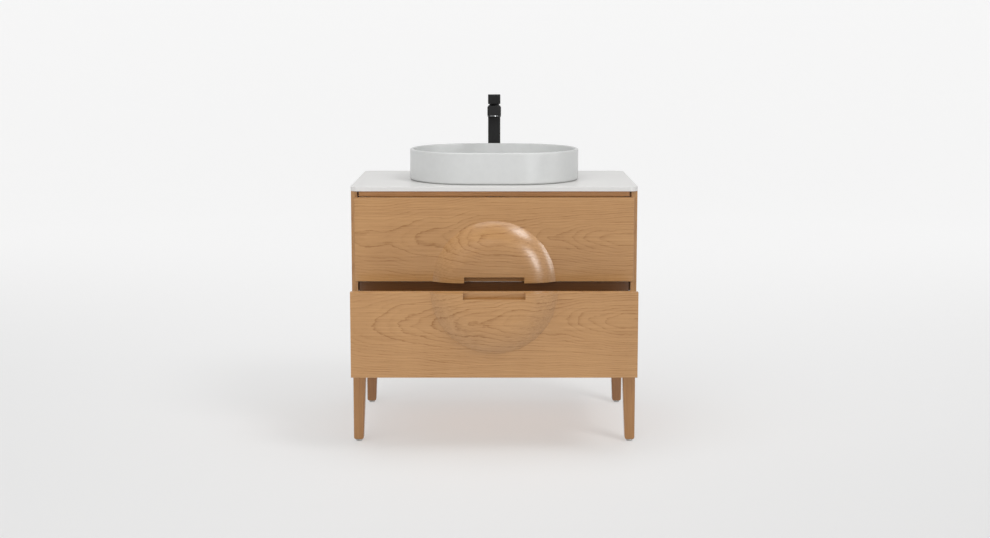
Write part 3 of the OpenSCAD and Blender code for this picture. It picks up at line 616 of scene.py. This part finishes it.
class VANITY_OT_fittings(bpy.types.Operator):
    """Make the glides, the domed plug and the ribbed trap nuts and cup"""

    bl_idname = "vanity.fittings"
    bl_label = "Fittings"

    def execute(self, context):
        low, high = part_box("glides")
        radius, height, pin = 9 * MM, 5.6 * MM, 3 * MM
        parts = []
        for x in (low.x + radius, high.x - radius):
            for y in (low.y + radius, high.y - radius):
                profile = np.vstack([rounded_side(radius, 0, height, 1.6 * MM),
                                     [[pin, height], [pin, high.z]]])
                parts.append(loft(turned(profile, (x, y, 0), 48)))
        new_piece("glide_feet", parts, MATERIALS["nickel"], "cabinet", "glides")

        low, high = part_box("waste_plug")
        centre = ((low.x + high.x) / 2, (low.y + high.y) / 2, 0)
        cap, stem, thick = (high.x - low.x) / 2, 4 * MM, 4 * MM
        side = rounded_side(cap, high.z - thick, high.z - 0.5 * MM, 1.2 * MM)
        dome = [[cap * k, high.z - 0.5 * MM * k ** 2] for k in (0.9, 0.7, 0.5, 0.3, 0.1)]
        profile = np.vstack([[[stem, low.z], [stem, high.z - thick]], side, dome])
        new_piece("plug_dome", [loft(turned(profile, centre, 96))], MATERIALS["chrome"], "drain_plug",
                  "waste_plug")

        low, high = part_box("trap_nuts")
        big, small, bore = (high.x - low.x) / 2, 23 * MM, 16 * MM
        parts = []
        for radius, z0, z1 in ((small, low.z, low.z + 14 * MM), (big, high.z - 22 * MM, high.z)):
            outer = rounded_side(radius, z0, z1, 1.8 * MM, 4)
            share = np.array([0, 0, 1, 1, 1, 1, 0, 0])[:, None]
            profile = np.vstack([np.hstack([outer, share]), [[bore, z1, 0], [bore, z0, 0]]])
            parts.append(loft(ribbed(profile, centre, 24, 1.4 * MM), closed_section=True))
        new_piece("trap_grips", parts, MATERIALS["chrome"], "cabinet", "trap_nuts")

        low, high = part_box("trap_cup")
        radius, inside = (high.x - low.x) / 2, 26.5 * MM
        outer = rounded_side(radius, low.z, high.z, 3 * MM, 5)
        share = np.array([0, 0, 0, 1, 1, 1, 1, 0, 0, 0])[:, None]
        bowl = [[inside, high.z, 0], [inside, low.z + 6 * MM, 0], [inside - 3 * MM, low.z + 3 * MM, 0]]
        profile = np.vstack([[[radius * 0.5, low.z, 0]], np.hstack([outer, share]), bowl])
        new_piece("trap_bowl", [loft(ribbed(profile, centre, 20, 1.6 * MM))], MATERIALS["chrome"], "cabinet",
                  "trap_cup")
        return {"FINISHED"}


class VANITY_OT_stage(bpy.types.Operator):
    """Make the pale floor with its backdrop, the soft lights and the camera"""

    bl_idname = "vanity.stage"
    bl_label = "Stage"

    def execute(self, context):
        scene = context.scene
        colours = scene.vanity_colours
        # Paper that glows with painted light as well as being lit from the front, most of all at the back, which
        # keeps its shadows pale
        mat, shader = new_material("studio paper", tuple(0.5 * c for c in colours.floor), 0.9, Specular_IOR_Level=0.1,
                                   Emission_Color=(*colours.floor, 1))
        far = add(mat, "SeparateXYZ", add(mat, "TexCoord", out="Object"), out="Y")
        glow = add(mat, "MapRange", far, -3.0, 4.0, 0.3, 0.74, interpolation_type="SMOOTHSTEP")
        wire(mat, shader, Emission_Strength=glow)
        # Floor: a profile turned about the middle, flat to 5 m and then sweeping up in a quarter circle to a wall
        flat, sweep, wall = 5.0, 2.2, 3.4
        profile = [(0.1 * MM, 0), (1, 0), (3, 0), (flat, 0)]
        profile += [(flat + sweep * math.sin(t), sweep - sweep * math.cos(t))
                    for t in np.radians(np.linspace(7.5, 90, 12))]
        profile.append((flat + sweep, wall))
        rings = turned(profile[::-1], (0, 0, 0), 96)
        mesh = bpy.data.meshes.new("studio_floor")
        mesh.from_pydata(rings.reshape(-1, 3).tolist(), [], grid_faces(*rings.shape[:2], False, True).tolist())
        mesh.polygons.foreach_set("use_smooth", np.full(len(mesh.polygons), True))
        mesh.materials.append(mat)
        floor = bpy.data.objects.new("studio_floor", mesh)
        scene.collection.objects.link(floor)

        world = bpy.data.worlds.new("studio air")
        world.use_nodes = True
        air = world.node_tree.nodes["Background"].inputs
        air["Color"].default_value = (1, 1, 1, 1)
        air["Strength"].default_value = 0.3
        scene.world = world

        # Lamps by name: degrees right of the front and above the floor, distance, width and height in metres, watts
        middle = Vector((0, -0.05, 0.5))
        lamps = (("key", 46, 48, 5.0, 1.5, 1.5, 72), ("fill", -44, 40, 3.0, 2.2, 2.2, 18),
                 ("top", 10, 84, 3.0, 2.6, 2.0, 33), ("rim", 74, 17, 3.0, 0.2, 1.6, 18),
                 ("spark", 33, 10, 3.4, 0.8, 1.1, 26), ("front", -12, 14, 4.0, 2.2, 1.4, 34))
        for name, azimuth, elevation, distance, width, height, power in lamps:
            az, el = math.radians(azimuth), math.radians(elevation)
            toward = Vector((math.sin(az) * math.cos(el), -math.cos(az) * math.cos(el), math.sin(el)))
            light = bpy.data.lights.new(name, "AREA")
            light.shape, light.size, light.size_y, light.energy = "RECTANGLE", width, height, power
            lamp = bpy.data.objects.new(name, light)
            lamp.location = middle + distance * toward
            lamp.rotation_euler = toward.to_track_quat("Z", "Y").to_euler()
            # Fill and front light without a glint, and rim and spark only glint on the lacquer and glaze
            lamp.visible_glossy = name not in ("fill", "front")
            lamp.visible_diffuse = name not in ("rim", "spark")
            scene.collection.objects.link(lamp)

        # A standing person's view from 4 m, shifted so that the vanity stands a little below the middle
        lens = bpy.data.cameras.new("camera")
        lens.lens, lens.shift_x, lens.shift_y = 51.93, 0.0008, -0.06
        camera = bpy.data.objects.new("camera", lens)
        camera.location = (0, -4.0858, 1.1447)
        camera.rotation_euler = (math.radians(90 - 6.93), 0, 0)
        scene.collection.objects.link(camera)
        scene.camera = camera
        scene.view_settings.view_transform = "Standard"
        return {"FINISHED"}


class VANITY_PT_panel(bpy.types.Panel):
    """Sidebar list of the pieces and their settings"""

    bl_label = "Vanity"
    bl_idname = "VANITY_PT_panel"
    bl_space_type = "VIEW_3D"
    bl_region_type = "UI"
    bl_category = "Vanity"

    def draw(self, context):
        for group in (context.scene.vanity_sizes, context.scene.vanity_colours):
            for name in group.__annotations__:
                self.layout.prop(group, name)
        for operator in OPERATORS:
            self.layout.operator(operator.bl_idname)


OPERATORS = (VANITY_OT_materials, VANITY_OT_basin, VANITY_OT_legs, VANITY_OT_fittings, VANITY_OT_stage)
CLASSES = (VanitySizes, VanityColours, *OPERATORS, VANITY_PT_panel)


def register():
    """Registers the classes and puts their settings on the scene."""
    for cls in CLASSES:
        bpy.utils.register_class(cls)
    bpy.types.Scene.vanity_sizes = PointerProperty(type=VanitySizes)
    bpy.types.Scene.vanity_colours = PointerProperty(type=VanityColours)


def unregister():
    """Undoes register."""
    del bpy.types.Scene.vanity_colours
    del bpy.types.Scene.vanity_sizes
    for cls in reversed(CLASSES):
        bpy.utils.unregister_class(cls)


def main():
    register()
    for operator in OPERATORS:
        group, action = operator.bl_idname.split(".")
        getattr(getattr(bpy.ops, group), action)()


if __name__ == "__main__":
    main()
